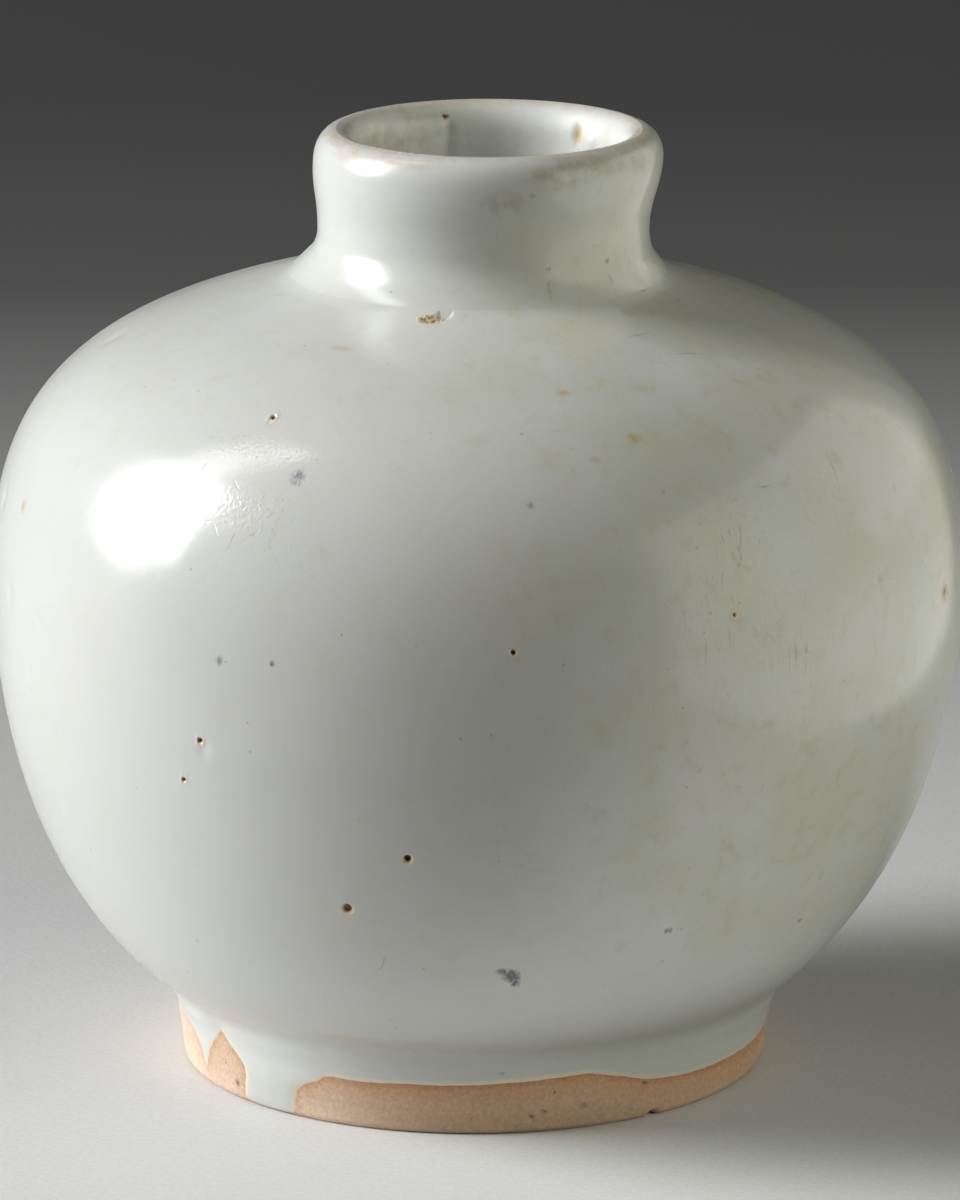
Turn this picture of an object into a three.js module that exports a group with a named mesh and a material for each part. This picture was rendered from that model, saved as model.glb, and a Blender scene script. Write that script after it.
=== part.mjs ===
// A small white porcelain bud vase, thrown in sections, luted with slip and glazed inside and out.
// Millimetres, +Z up. The foot stands on z = 0 and the belly is centred on the Z axis.
// Angles round the vase start at the front, which is -Y, and grow towards +X.
import * as THREE from 'three';

// Outside form, measured over the glaze
const vaseHeight = 97.6;
const bellyRadius = 50;
const bellyHeight = 51.8;
const neckHeight = 15.6;
const neckRootRadius = 21.1;
const neckWaistRadius = 16.9;
const neckWaistRise = 5.3;
const lipRadius = 17.8;
const lipThickness = 4.4;
const lipRise = 2.9;
const springAngle = THREE.MathUtils.degToRad(33.7);
const shoulderAngle = THREE.MathUtils.degToRad(19);

// Foot ring, measured on the bare clay
const footHeight = 8.8;
const footRadius = 30.2;
const footTaper = 0.9;
const footRingWidth = 6.6;
const footChamfer = 0.8;
const footFillet = 0.8;

// Walls, coats and joins
const bodyWall = 5;
const neckWall = 4.2;
const floorThickness = 5.5;
const glazeThickness = 0.5;
const slipThickness = 0.6;
const seatGap = 0.05;

// Glaze line on the foot: its height, its slow wave and the run that nearly reaches the table
const glazeLineHeight = 4.3;
const glazeLineWave = 1;
const glazeRunEnd = 1.2;
const glazeRunAngle = THREE.MathUtils.degToRad(-45);
const glazeRunHalfWidth = THREE.MathUtils.degToRad(15);

// How far the thrown sections stand off one straight axis, towards +X
const bellySway = 0.5;
const neckOffset = 1;
const neckOffsetStart = 3;
const lipLean = 0.6;

// Fullness of the curves, as shares of the height or reach that each one spans
const springFullness = 0.2;
const lowerFullness = 0.56;
const shoulderFullness = 0.8;
const shoulderReach = 0.36;
const neckFullness = 0.45;
const bowlFullness = 0.95;
const floorReach = 0.78;

// Facets round the vase, along a long curve and along a short turn
const segments = 36;
const longSteps = 8;
const shortSteps = 3;

// Places that follow from the driving dimensions
const clayDepth = glazeThickness + seatGap;
const neckRootHeight = vaseHeight - neckHeight;
const waistHeight = neckRootHeight + neckWaistRise;
const lipHeight = vaseHeight - lipRise;
const crestRadius = lipRadius - lipThickness / 2;
const mouthRadius = lipRadius - lipThickness;
const boreRadius = neckWaistRadius - neckWall;
const footTopHeight = footHeight - footFillet;
const footTopRadius = footRadius + footTaper;
const footBoreRadius = footTopRadius - footRingWidth;

const at = (radius, height) => new THREE.Vector2(radius, height);
const along = (angle, length) => at(Math.cos(angle) * length, Math.sin(angle) * length);

// Directions along the profile where the lower wall leaves the foot and where the shoulder meets the neck
const springWay = along(springAngle, 1);
const shoulderWay = along(Math.PI - shoulderAngle, 1);

// Points of a curve, each with the normal that points out of the clay
function sample(curve, steps) {
  const samples = [];
  for (let step = 0; step <= steps; step += 1) {
    const tangent = curve.getTangent(step / steps);
    const normal = at(tangent.y, -tangent.x);
    samples.push({ point: curve.getPoint(step / steps), normal });
  }
  return samples;
}

// The profile points that lie a depth below the surface
function sink(samples, depth) {
  return samples.map(({ point, normal }) => point.clone().addScaledVector(normal, -depth));
}

// The far face of a wall, run through from its top to its bottom
function inside(samples, wall) {
  const far = samples.map(({ point, normal }) => ({
    point: point.clone().addScaledVector(normal, -wall),
    normal: normal.clone().negate(),
  }));
  return far.reverse();
}

function quarterTurn(centre, radiusAcross, radiusUp, fromAngle, toAngle) {
  const curve = new THREE.EllipseCurve(centre.x, centre.y, radiusAcross, radiusUp, fromAngle, toAngle);
  return sample(curve, shortSteps);
}

// Stretches of the outside, from the foot up to the crest of the lip
const footCorner = at(footTopRadius + clayDepth, footHeight);
const footTop = at(footCorner.x, footTopHeight);
const lowerStart = footCorner.clone().addScaledVector(springWay, footFillet);
const lowerEnd = at(bellyRadius, bellyHeight - slipThickness / 2);
const upperStart = at(bellyRadius, bellyHeight + slipThickness / 2);
const neckRoot = at(neckRootRadius, neckRootHeight);
const upperEnd = neckRoot.clone().addScaledVector(shoulderWay, -slipThickness / 2);
const neckStart = neckRoot.clone().addScaledVector(shoulderWay, slipThickness / 2);
const waist = at(neckWaistRadius, waistHeight);
const lipSide = at(lipRadius, lipHeight);

const lowerSpan = lowerEnd.y - lowerStart.y;
const shoulderSpan = upperEnd.y - upperStart.y;
const waistSpan = waist.y - neckStart.y;
const flareSpan = lipSide.y - waist.y;

const footFilletTurn = sample(new THREE.QuadraticBezierCurve(footTop, footCorner, lowerStart), shortSteps);

const lowerWall = sample(
  new THREE.CubicBezierCurve(
    lowerStart,
    lowerStart.clone().addScaledVector(springWay, lowerSpan * springFullness),
    at(lowerEnd.x, lowerEnd.y - lowerSpan * lowerFullness),
    lowerEnd,
  ),
  longSteps,
);

const shoulder = sample(
  new THREE.CubicBezierCurve(
    upperStart,
    at(upperStart.x, upperStart.y + shoulderSpan * shoulderFullness),
    upperEnd.clone().addScaledVector(shoulderWay, (upperEnd.x - upperStart.x) * shoulderReach),
    upperEnd,
  ),
  longSteps,
);

const neckRise = sample(
  new THREE.CubicBezierCurve(
    neckStart,
    neckStart.clone().addScaledVector(shoulderWay, waistSpan * neckFullness),
    at(waist.x, waist.y - waistSpan * neckFullness),
    waist,
  ),
  shortSteps,
);

const neckFlare = sample(
  new THREE.CubicBezierCurve(
    waist,
    at(waist.x, waist.y + flareSpan * neckFullness),
    at(lipSide.x, lipSide.y - flareSpan * neckFullness),
    lipSide,
  ),
  shortSteps,
);

const lipOutside = quarterTurn(at(crestRadius, lipHeight), lipThickness / 2, lipRise, 0, Math.PI / 2);

// Seams: the short straight stretches that the slip fills, less the seat gap at each end
function seam(from, to) {
  const way = to.clone().sub(from).setLength(seatGap);
  return sample(new THREE.LineCurve(from.clone().add(way), to.clone().sub(way)), 1);
}
const bellySeam = seam(lowerEnd, upperStart);
const neckSeam = seam(upperEnd, neckStart);

// Stretches of the inside, from the crest of the lip down to the middle of the floor
const lipInside = quarterTurn(
  at(crestRadius - seatGap, lipHeight),
  crestRadius - seatGap - mouthRadius,
  lipRise,
  Math.PI / 2,
  Math.PI,
);

const boreTop = at(mouthRadius, lipHeight);
const boreWaist = at(boreRadius, waistHeight);
const boreEnd = sink([neckRise[0]], bodyWall)[0];
const boreFlare = sample(
  new THREE.CubicBezierCurve(
    boreTop,
    at(boreTop.x, boreTop.y - flareSpan * neckFullness),
    at(boreWaist.x, boreWaist.y + flareSpan * neckFullness),
    boreWaist,
  ),
  shortSteps,
);
const boreRoot = sample(
  new THREE.CubicBezierCurve(
    boreWaist,
    at(boreWaist.x, boreWaist.y - (boreWaist.y - boreEnd.y) * neckFullness),
    boreEnd.clone().addScaledVector(shoulderWay, (boreEnd.x - boreWaist.x) * neckFullness),
    boreEnd,
  ),
  shortSteps,
);

const bowlSeat = sink([lowerWall[0]], clayDepth)[0];
const floorHeight = bowlSeat.y + floorThickness;
const bowlTop = at(lowerEnd.x - bodyWall, lowerEnd.y);
const bowl = sample(
  new THREE.CubicBezierCurve(
    bowlTop,
    at(bowlTop.x, bowlTop.y - (bowlTop.y - floorHeight) * bowlFullness),
    at(bowlTop.x * floorReach, floorHeight),
    at(0, floorHeight),
  ),
  longSteps,
);
bowl[longSteps].normal.set(0, 1);

const neckOutside = [...neckRise, ...neckFlare.slice(1), ...lipOutside.slice(1)];
const neckInside = [...lipInside, ...boreFlare.slice(1), ...boreRoot.slice(1)];

// How far the axis stands off at a height: one smooth line that every piece shares
function axisSway(height) {
  const { smoothstep } = THREE.MathUtils;
  const risingBelly = smoothstep(height, footHeight, bellyHeight);
  const fallingBelly = smoothstep(height, bellyHeight, neckRootHeight);
  const neckShare = smoothstep(height, neckRootHeight - neckOffsetStart, waistHeight);
  const lipShare = smoothstep(height, waistHeight, vaseHeight);
  return neckOffset * neckShare + lipLean * lipShare - bellySway * (1 - risingBelly + fallingBelly);
}

function setOnAxis(geometry) {
  const position = geometry.attributes.position;
  for (let index = 0; index < position.count; index += 1) {
    position.setX(index, position.getX(index) + axisSway(position.getZ(index)));
  }
  return geometry;
}

// Turned form of a profile, with its seam at the front and its axis upright
function turned(profile) {
  return new THREE.LatheGeometry(profile, segments).rotateX(Math.PI / 2);
}

function closed(profile) {
  return [...profile, profile[0].clone()];
}

function piece(name, geometry, color, roughness) {
  const material = new THREE.MeshStandardMaterial({ color, roughness, metalness: 0 });
  const mesh = new THREE.Mesh(setOnAxis(geometry), material);
  mesh.name = name;
  return mesh;
}

const clay = (name, profile) => piece(name, turned(profile), '#d9c2ab', 0.85);
const slip = (name, profile) => piece(name, turned(profile), '#e2d5c6', 0.8);
const glaze = (name, geometry) => piece(name, geometry, '#e3e5e0', 0.12);

// Foot

function footRadiusAt(height) {
  const share = (height - footChamfer) / (footTopHeight - footChamfer);
  return THREE.MathUtils.lerp(footRadius, footTopRadius, share);
}

function footRing() {
  const profile = [
    at(footBoreRadius, 0),
    at(footRadius - footChamfer, 0),
    at(footRadius, footChamfer),
    at(footTopRadius, footTopHeight),
    at(footBoreRadius, footTopHeight),
  ];
  return clay('foot_ring', closed(profile));
}

function footLuting() {
  const bottom = footTopHeight + seatGap;
  const top = bowlSeat.y - seatGap;
  const profile = [
    at(footBoreRadius, bottom),
    at(footTopRadius, bottom),
    ...sink(footFilletTurn.slice(1, -1), clayDepth),
    at(bowlSeat.x - 2 * seatGap, top),
    at(footBoreRadius, top),
  ];
  return slip('foot_luting', closed(profile));
}

// Body and neck

function lowerBody() {
  const outside = sink(lowerWall, clayDepth);
  const within = sink(bowl, clayDepth);
  return clay('lower_body', [at(0, bowlSeat.y), ...outside, ...within]);
}

function upperBody() {
  const outside = sink(shoulder, clayDepth);
  const within = sink(inside(shoulder, bodyWall), clayDepth);
  return clay('upper_body', closed([...outside, ...within]));
}

function neck() {
  return clay('neck', closed(sink([...neckOutside, ...neckInside], clayDepth)));
}

function luting(name, samples) {
  const outside = sink(samples, clayDepth);
  const within = sink(inside(samples, bodyWall), clayDepth);
  return slip(name, closed([...outside, ...within]));
}

// Glaze

function glazeLine(angle) {
  const wave = glazeLineHeight + glazeLineWave * Math.cos(2 * angle);
  const away = Math.abs(angle - glazeRunAngle);
  return THREE.MathUtils.lerp(glazeRunEnd, wave, THREE.MathUtils.smoothstep(away, 0, glazeRunHalfWidth));
}

// The coat's lower edge follows the glaze line on the foot, at each facet corner
function drawGlazeLine(geometry) {
  const position = geometry.attributes.position;
  for (let index = 0; index < position.count; index += 1) {
    if (position.getZ(index) < footTopHeight - seatGap) {
      const angle = Math.atan2(position.getX(index), -position.getY(index));
      const proud = Math.hypot(position.getX(index), position.getY(index)) - footRadiusAt(glazeLineHeight);
      const height = glazeLine(angle);
      const radius = footRadiusAt(height) + proud;
      position.setXYZ(index, radius * Math.sin(angle), -radius * Math.cos(angle), height);
    }
  }
  return geometry;
}

function outerGlaze() {
  const body = [...footFilletTurn, ...lowerWall, ...shoulder, ...neckOutside];
  const edge = footRadiusAt(glazeLineHeight) + seatGap;
  const profile = [
    at(edge, glazeLineHeight),
    at(edge + glazeThickness, glazeLineHeight),
    ...sink(body, 0),
    ...sink(body, glazeThickness).reverse(),
  ];
  return glaze('outer_glaze', drawGlazeLine(turned(closed(profile))));
}

function innerGlaze() {
  const body = [...neckInside, ...inside(shoulder, bodyWall), ...bowl];
  const profile = [...sink(body, glazeThickness).reverse(), ...sink(body, 0)];
  return glaze('inner_glaze', turned(profile));
}

const vase = new THREE.Group();
vase.add(
  footRing(),
  footLuting(),
  lowerBody(),
  luting('belly_luting', bellySeam),
  upperBody(),
  luting('neck_luting', neckSeam),
  neck(),
  outerGlaze(),
  innerGlaze(),
);

export default vase;
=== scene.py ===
import math

import bmesh
import bpy
import numpy as np
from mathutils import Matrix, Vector


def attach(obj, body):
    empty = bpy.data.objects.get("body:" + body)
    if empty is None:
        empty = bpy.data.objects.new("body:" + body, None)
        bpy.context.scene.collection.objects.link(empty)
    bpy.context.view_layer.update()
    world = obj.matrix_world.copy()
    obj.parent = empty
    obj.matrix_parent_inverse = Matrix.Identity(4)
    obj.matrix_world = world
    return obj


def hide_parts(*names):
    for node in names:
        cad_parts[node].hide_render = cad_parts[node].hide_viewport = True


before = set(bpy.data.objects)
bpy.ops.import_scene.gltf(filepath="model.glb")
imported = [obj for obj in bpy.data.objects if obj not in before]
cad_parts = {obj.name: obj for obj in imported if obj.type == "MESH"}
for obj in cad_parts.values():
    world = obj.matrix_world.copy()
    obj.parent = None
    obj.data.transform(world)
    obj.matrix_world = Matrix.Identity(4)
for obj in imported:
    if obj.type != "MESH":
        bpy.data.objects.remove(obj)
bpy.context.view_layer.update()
bpy.ops.object.select_all(action="DESELECT")  # the solids come in selected
mm = 0.001

# Small white porcelain bud vase: the glaze coats and the bare foot are modelled here, over the solids' clay
print("frame loaded", len(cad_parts), "nodes")


# Camera at the photograph's viewing angle

cameraSet = {
    "place": (-0.0005, -0.8092, 0.2542), "aim": (0.00014, -0.00045, 0.0482),
    "lens": 243.0, "sensor": 36.0,  # on the tall side of the picture
}

bpy.ops.object.camera_add(location=cameraSet["place"])
camera = bpy.context.object
sight = Vector(cameraSet["aim"]) - Vector(cameraSet["place"])
camera.rotation_euler = sight.to_track_quat("-Z", "Y").to_euler()
camera.data.lens = cameraSet["lens"]
camera.data.sensor_width = cameraSet["sensor"]
bpy.context.scene.camera = camera
print("camera placed")


# The thrown form, in mm and degrees, the same sizes as the solids

form = {
    "height": 97.6, "bellyRadius": 50.0, "bellyHeight": 51.8,
    "neckHeight": 15.6, "neckRootRadius": 21.1, "waistRadius": 16.9, "waistRise": 5.3,
    "lipRadius": 17.8, "lipThickness": 4.4, "lipRise": 2.9,
    "springAngle": 33.7, "shoulderAngle": 19.0,
    "footHeight": 8.8, "footRadius": 30.2, "footTopRadius": 31.1, "footBore": 24.5,
    "footRound": 0.8, "footFillet": 0.8,
    "bodyWall": 5.0, "neckWall": 4.2, "floorThickness": 5.5, "glaze": 0.5, "clayDepth": 0.55, "slip": 0.6,
    "springFullness": 0.2, "lowerFullness": 0.56, "shoulderFullness": 0.8, "shoulderReach": 0.36,
    "neckFullness": 0.45, "bowlFullness": 0.95, "floorReach": 0.78,
    "bellySway": 0.5, "neckOffset": 1.0, "neckOffsetStart": 3.0, "lipLean": 0.6,
}
rootHeight = form["height"] - form["neckHeight"]
waistHeight = rootHeight + form["waistRise"]
lipHeight = form["height"] - form["lipRise"]
crestRadius = form["lipRadius"] - form["lipThickness"] / 2
mouthRadius = form["lipRadius"] - form["lipThickness"]
boreRadius = form["waistRadius"] - form["neckWall"]
footTop = form["footHeight"] - form["footFillet"]


def smooth(value, low, high):  # 0 below low, 1 above high, eased between them
    share = np.clip((value - low) / (high - low), 0, 1)
    return share * share * (3 - 2 * share)


def within(value, start, full, fade, end):  # 1 between full and fade, eased to 0 at start and end
    return smooth(value, start, full) * (1 - smooth(value, fade, end))


def bell(value, middle, width):  # 1 at the middle, falling away on both sides
    return np.exp(-(((value - middle) / width) ** 2))


def bend(start, leaving, arriving, end, steps=200):  # one thrown curve
    share = np.linspace(0, 1, steps + 1)[:, None]
    rest = 1 - share
    start, leaving, arriving, end = (np.array(point, float) for point in (start, leaving, arriving, end))
    return start * rest**3 + 3 * leaving * share * rest**2 + 3 * arriving * share**2 * rest + end * share**3


def joined(*lines):  # lines end to end
    rest = [line[1:] if np.allclose(line[0], lines[0][-1]) else line for line in lines[1:]]
    return np.vstack([lines[0]] + rest)


def sunk(line, depth):  # the same line a depth under the surface
    way = np.gradient(line, axis=0)
    way /= np.linalg.norm(way, axis=1)[:, None]
    return line - np.stack([way[:, 1], -way[:, 0]], axis=1) * depth


def respaced(line, gapAt):  # points along a line at the gap that each height asks for
    step = np.linalg.norm(np.diff(line, axis=0), axis=1)
    gaps = gapAt((line[1:, 1] + line[:-1, 1]) / 2)
    count = np.concatenate([[0], np.cumsum(step / gaps)])
    want = np.linspace(0, count[-1], int(round(count[-1])) + 1)
    return np.stack([np.interp(want, count, line[:, 0]), np.interp(want, count, line[:, 1])], axis=1)


def evenly(gap):  # the same gap at every height
    return lambda height: np.full(len(height), gap)


def quarterTurn(middle, across, up, start, end, steps=40):
    turn = np.radians(np.linspace(start, end, steps + 1))
    return np.stack([middle[0] + across * np.cos(turn), middle[1] + up * np.sin(turn)], axis=1)


springTurn = math.radians(form["springAngle"])
shoulderTurn = math.radians(form["shoulderAngle"])
springWay = np.array([math.cos(springTurn), math.sin(springTurn)])
shoulderWay = np.array([-math.cos(shoulderTurn), math.sin(shoulderTurn)])
footCorner = np.array([form["footTopRadius"] + form["clayDepth"], form["footHeight"]])
lowerStart = footCorner + springWay * form["footFillet"]
lowerEnd = np.array([form["bellyRadius"], form["bellyHeight"] - form["slip"] / 2])
upperStart = np.array([form["bellyRadius"], form["bellyHeight"] + form["slip"] / 2])
neckRoot = np.array([form["neckRootRadius"], rootHeight])
upperEnd = neckRoot - shoulderWay * form["slip"] / 2
neckStart = neckRoot + shoulderWay * form["slip"] / 2
waist = np.array([form["waistRadius"], waistHeight])
lipSide = np.array([form["lipRadius"], lipHeight])

lowerSpan = lowerEnd[1] - lowerStart[1]
shoulderSpan = upperEnd[1] - upperStart[1]
waistSpan = waist[1] - neckStart[1]
flareSpan = lipSide[1] - waist[1]

filletLine = bend(
    (footCorner[0], footTop), (footCorner[0], footTop + form["footFillet"] * 2 / 3),
    footCorner + springWay * form["footFillet"] / 3, lowerStart, 24,
)
lowerLine = bend(
    lowerStart, lowerStart + springWay * lowerSpan * form["springFullness"],
    (lowerEnd[0], lowerEnd[1] - lowerSpan * form["lowerFullness"]), lowerEnd,
)
shoulderLine = bend(
    upperStart, (upperStart[0], upperStart[1] + shoulderSpan * form["shoulderFullness"]),
    upperEnd + shoulderWay * (upperEnd[0] - upperStart[0]) * form["shoulderReach"], upperEnd,
)
riseLine = bend(
    neckStart, neckStart + shoulderWay * waistSpan * form["neckFullness"],
    (waist[0], waist[1] - waistSpan * form["neckFullness"]), waist,
)
flareLine = bend(
    waist, (waist[0], waist[1] + flareSpan * form["neckFullness"]),
    (lipSide[0], lipSide[1] - flareSpan * form["neckFullness"]), lipSide,
)
lipLine = quarterTurn((crestRadius, lipHeight), form["lipThickness"] / 2, form["lipRise"], 0, 90)
outsideLine = joined(filletLine, lowerLine, shoulderLine, riseLine, flareLine, lipLine)

boreEnd = sunk(riseLine, form["bodyWall"])[0]
lipInside = quarterTurn((crestRadius, lipHeight), form["lipThickness"] / 2, form["lipRise"], 90, 180)
boreFlare = bend(
    (mouthRadius, lipHeight), (mouthRadius, lipHeight - flareSpan * form["neckFullness"]),
    (boreRadius, waistHeight + flareSpan * form["neckFullness"]), (boreRadius, waistHeight),
)
boreDrop = waistHeight - boreEnd[1]
boreRoot = bend(
    (boreRadius, waistHeight), (boreRadius, waistHeight - boreDrop * form["neckFullness"]),
    boreEnd + shoulderWay * (boreEnd[0] - boreRadius) * form["neckFullness"], boreEnd,
)
floorHeight = sunk(lowerLine, form["clayDepth"])[0][1] + form["floorThickness"]
bowlTop = np.array([lowerEnd[0] - form["bodyWall"], lowerEnd[1]])
bowlLine = bend(
    bowlTop, (bowlTop[0], bowlTop[1] - (bowlTop[1] - floorHeight) * form["bowlFullness"]),
    (bowlTop[0] * form["floorReach"], floorHeight), (0, floorHeight),
)
insideLine = joined(lipInside, boreFlare, boreRoot, sunk(shoulderLine, form["bodyWall"])[::-1], bowlLine)


def axisSway(height):  # how far the thrown sections stand off one straight axis, towards +X
    rise = smooth(height, form["footHeight"], form["bellyHeight"])
    belly = rise - smooth(height, form["bellyHeight"], rootHeight)
    neck = smooth(height, rootHeight - form["neckOffsetStart"], waistHeight)
    lip = smooth(height, waistHeight, form["height"])
    return form["neckOffset"] * neck + form["lipLean"] * lip - form["bellySway"] * (1 - belly)


def footClay(height):  # radius of the bare foot, with its rounded lower edge
    side = np.interp(height, [form["footRound"], footTop], [form["footRadius"], form["footTopRadius"]])
    below = np.clip(form["footRound"] - height, 0, form["footRound"])
    return side - form["footRound"] + np.sqrt(form["footRound"] ** 2 - below**2)


# Mesh helpers

columnTurns = {  # degrees of the even columns after the spin and where they go, finer at the front left
    "spun": (-180.0, -122.0, 16.0, 140.0, 180.0), "real": (-180.0, -90.0, -25.0, 90.0, 180.0),
}


def throwPiece(name, outline, columns):  # one vertex drawn along the outline, then spun round the axis
    bpy.ops.object.select_all(action="DESELECT")
    bpy.ops.mesh.primitive_circle_add(vertices=3, radius=mm, location=(0, 0, 0))
    piece = bpy.context.object
    piece.name = piece.data.name = name
    bpy.ops.object.mode_set(mode="EDIT")
    bpy.ops.mesh.select_all(action="DESELECT")
    sketch = bmesh.from_edit_mesh(piece.data)
    sketch.verts.ensure_lookup_table()
    for vert in sketch.verts[1:]:
        vert.select_set(True)
    bmesh.update_edit_mesh(piece.data)
    bpy.ops.mesh.delete(type="VERT")
    bpy.ops.mesh.select_all(action="SELECT")
    sketch = bmesh.from_edit_mesh(piece.data)
    sketch.verts.ensure_lookup_table()
    path = [Vector((0, -radius * mm, height * mm)) for radius, height in outline]
    bpy.ops.transform.translate(value=path[0] - sketch.verts[0].co)
    for here, there in zip(path, path[1:]):
        bpy.ops.mesh.extrude_region_move(TRANSFORM_OT_translate={"value": there - here})
    bpy.ops.mesh.select_all(action="SELECT")
    bpy.ops.mesh.remove_doubles(threshold=1e-6)  # closes the outline
    bpy.ops.mesh.select_all(action="SELECT")
    fullTurn = {"angle": 2 * math.pi, "center": (0, 0, 0), "axis": (0, 0, 1)}
    bpy.ops.mesh.spin(steps=columns, use_auto_merge=True, **fullTurn)
    bpy.ops.mesh.select_all(action="SELECT")
    bpy.ops.mesh.remove_doubles(threshold=2e-6)
    bpy.ops.mesh.normals_make_consistent(inside=False)
    bpy.ops.mesh.select_all(action="DESELECT")
    bpy.ops.object.mode_set(mode="OBJECT")
    return piece


def readPoints(piece):
    flat = np.empty(len(piece.data.vertices) * 3, np.float32)
    piece.data.vertices.foreach_get("co", flat)
    return flat.reshape(-1, 3).astype(float) / mm


def polar(points):  # angle from the front towards +X, radius and height
    angle = np.degrees(np.arctan2(points[:, 0], -points[:, 1]))
    return angle, np.hypot(points[:, 0], points[:, 1]), points[:, 2]


def writePoints(piece, angle, radius, height, sway=0.0):
    turn = np.radians(angle)
    points = np.stack([radius * np.sin(turn) + sway, -radius * np.cos(turn), height], axis=1)
    piece.data.vertices.foreach_set("co", (points * mm).astype(np.float32).ravel())
    piece.data.update()


def crowdColumns(piece):  # gathers the even columns where the photographed side needs them
    angle, radius, height = polar(readPoints(piece))
    writePoints(piece, np.interp(angle, columnTurns["spun"], columnTurns["real"]), radius, height)


def refineFaces(piece, near, cuts):  # cuts the faces whose middle is near a mark
    bpy.ops.object.select_all(action="DESELECT")
    bpy.context.view_layer.objects.active = piece
    piece.select_set(True)
    middles = np.empty(len(piece.data.polygons) * 3, np.float32)
    piece.data.polygons.foreach_get("center", middles)
    wanted = near(middles.reshape(-1, 3).astype(float) / mm)
    bpy.ops.object.mode_set(mode="EDIT")
    bpy.ops.mesh.select_mode(type="FACE")
    sketch = bmesh.from_edit_mesh(piece.data)
    sketch.faces.ensure_lookup_table()
    for index in np.nonzero(wanted)[0]:
        sketch.faces[int(index)].select_set(True)
    bmesh.update_edit_mesh(piece.data)
    bpy.ops.mesh.subdivide(number_cuts=cuts)
    bpy.ops.mesh.select_mode(type="VERT")
    bpy.ops.mesh.select_all(action="DESELECT")
    bpy.ops.object.mode_set(mode="OBJECT")


def turnFrom(angle, middle):  # degrees round the axis from a middle, the short way
    return (angle - middle + 180) % 360 - 180


def wobble(angle, height, size, seed):  # slow uneven swell between -1 and 1, the same on every run
    total = 0
    for turn in range(5):
        around = np.radians(angle) * (turn + 1 + seed % 3)
        rising = height / size * (1 + 0.37 * turn)
        total = total + np.sin(around + rising + seed * 1.7 + turn * 2.3) / (turn + 1.5)
    return total / 1.6


def seal(piece, layers, finish, node):  # marks, material, shading and the solid it stands for
    for name, values in layers.items():
        layer = piece.data.attributes.new(name, "FLOAT", "POINT")
        layer.data.foreach_set("value", np.ascontiguousarray(values, np.float32))
    piece.data.materials.append(finish)
    bpy.ops.object.select_all(action="DESELECT")
    bpy.context.view_layer.objects.active = piece
    piece.select_set(True)
    bpy.ops.object.mode_set(mode="EDIT")
    bpy.ops.mesh.select_all(action="SELECT")
    bpy.ops.mesh.normals_make_consistent(inside=False)
    bpy.ops.object.mode_set(mode="OBJECT")
    bpy.ops.object.shade_smooth_by_angle(angle=math.radians(50))
    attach(piece, "root")
    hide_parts(node)
    print(piece.name, len(piece.data.polygons), "faces")


# Glaze line on the foot: angle and height of its edge, with one tongue, one flame of bare clay and one run

glazeLine = [
    (-172, 4.4), (-158, 5.0), (-140, 5.7), (-122, 5.1), (-106, 5.6), (-95, 6.2), (-86, 6.4), (-80.5, 6.2),
    (-76, 5.9), (-72.6, 5.6), (-70, 5.2), (-67.4, 4.3), (-66, 3.2), (-65.2, 1.5), (-64.2, 2.2), (-62.4, 4.1),
    (-59.8, 5.4), (-57.4, 6.6), (-56.2, 7.1), (-55.2, 6.4), (-53.6, 5.7), (-52.4, 5.2), (-51.2, 4.8),
    (-50.0, 4.2), (-49.6, 3.2), (-50.4, 1.6), (-50.6, 0.5), (-48.6, 0.1), (-44, 0.05), (-39, 0.05),
    (-36.6, 0.5), (-36.7, 1.6), (-36.4, 2.6), (-35.3, 3.5), (-33.2, 4.1), (-31.0, 4.5), (-29.4, 5.2),
    (-26, 5.2), (-20.8, 5.1), (-14, 5.35), (-5.5, 5.35), (1, 5.5), (8.5, 5.75), (16.3, 5.95), (21.5, 6.1),
    (24.5, 5.85), (30.8, 4.9), (36.6, 4.2), (40.4, 3.95), (46, 3.75), (52, 3.7), (59, 3.75), (68.5, 3.75),
    (78, 4.0), (92, 4.7), (112, 5.2), (128, 4.5), (142, 3.6), (150, 3.5), (160, 4.3), (172, 4.8),
]
lineBefore = [(turn - 360, rise) for turn, rise in glazeLine[-6:]]
lineAfter = [(turn + 360, rise) for turn, rise in glazeLine[:6]]
lineBend = np.array(lineBefore + glazeLine + lineAfter, float)
for rounding in range(2):  # corners cut twice, as a melted edge has none
    early = lineBend[:-1] * 0.75 + lineBend[1:] * 0.25
    late = lineBend[:-1] * 0.25 + lineBend[1:] * 0.75
    lineBend = np.stack([early, late], axis=1).reshape(-1, 2)


def glazeReach(angle, height):  # mm into the glaze, under 0 on bare clay, and the nearest place on the line
    unrolled = np.array((math.radians(1) * form["footRadius"], 1))
    line = lineBend * unrolled
    point = np.stack([angle, height], axis=1) * unrolled
    nearest = np.full(len(point), 1e9)
    closest = point.copy()
    above = np.zeros(len(point), int)
    for start, end in zip(line, line[1:]):
        way = end - start
        share = np.clip(((point - start) @ way) / (way @ way + 1e-12), 0, 1)
        foot = start + share[:, None] * way
        gap = np.linalg.norm(point - foot, axis=1)
        closest[gap < nearest] = foot[gap < nearest]
        nearest = np.minimum(nearest, gap)
        spans = (point[:, 0] >= min(start[0], end[0])) & (point[:, 0] < max(start[0], end[0]))
        run = way[0] if abs(way[0]) > 1e-9 else 1e-9
        above += spans & (start[1] + (point[:, 0] - start[0]) * way[1] / run > point[:, 1])
    ragged = 0.035 * np.sin(point[:, 0] * 2.3) * np.sin(point[:, 0] * 0.9 + 1)
    return np.where(above % 2 == 1, -nearest, nearest) + ragged, closest / unrolled


# Materials

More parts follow.
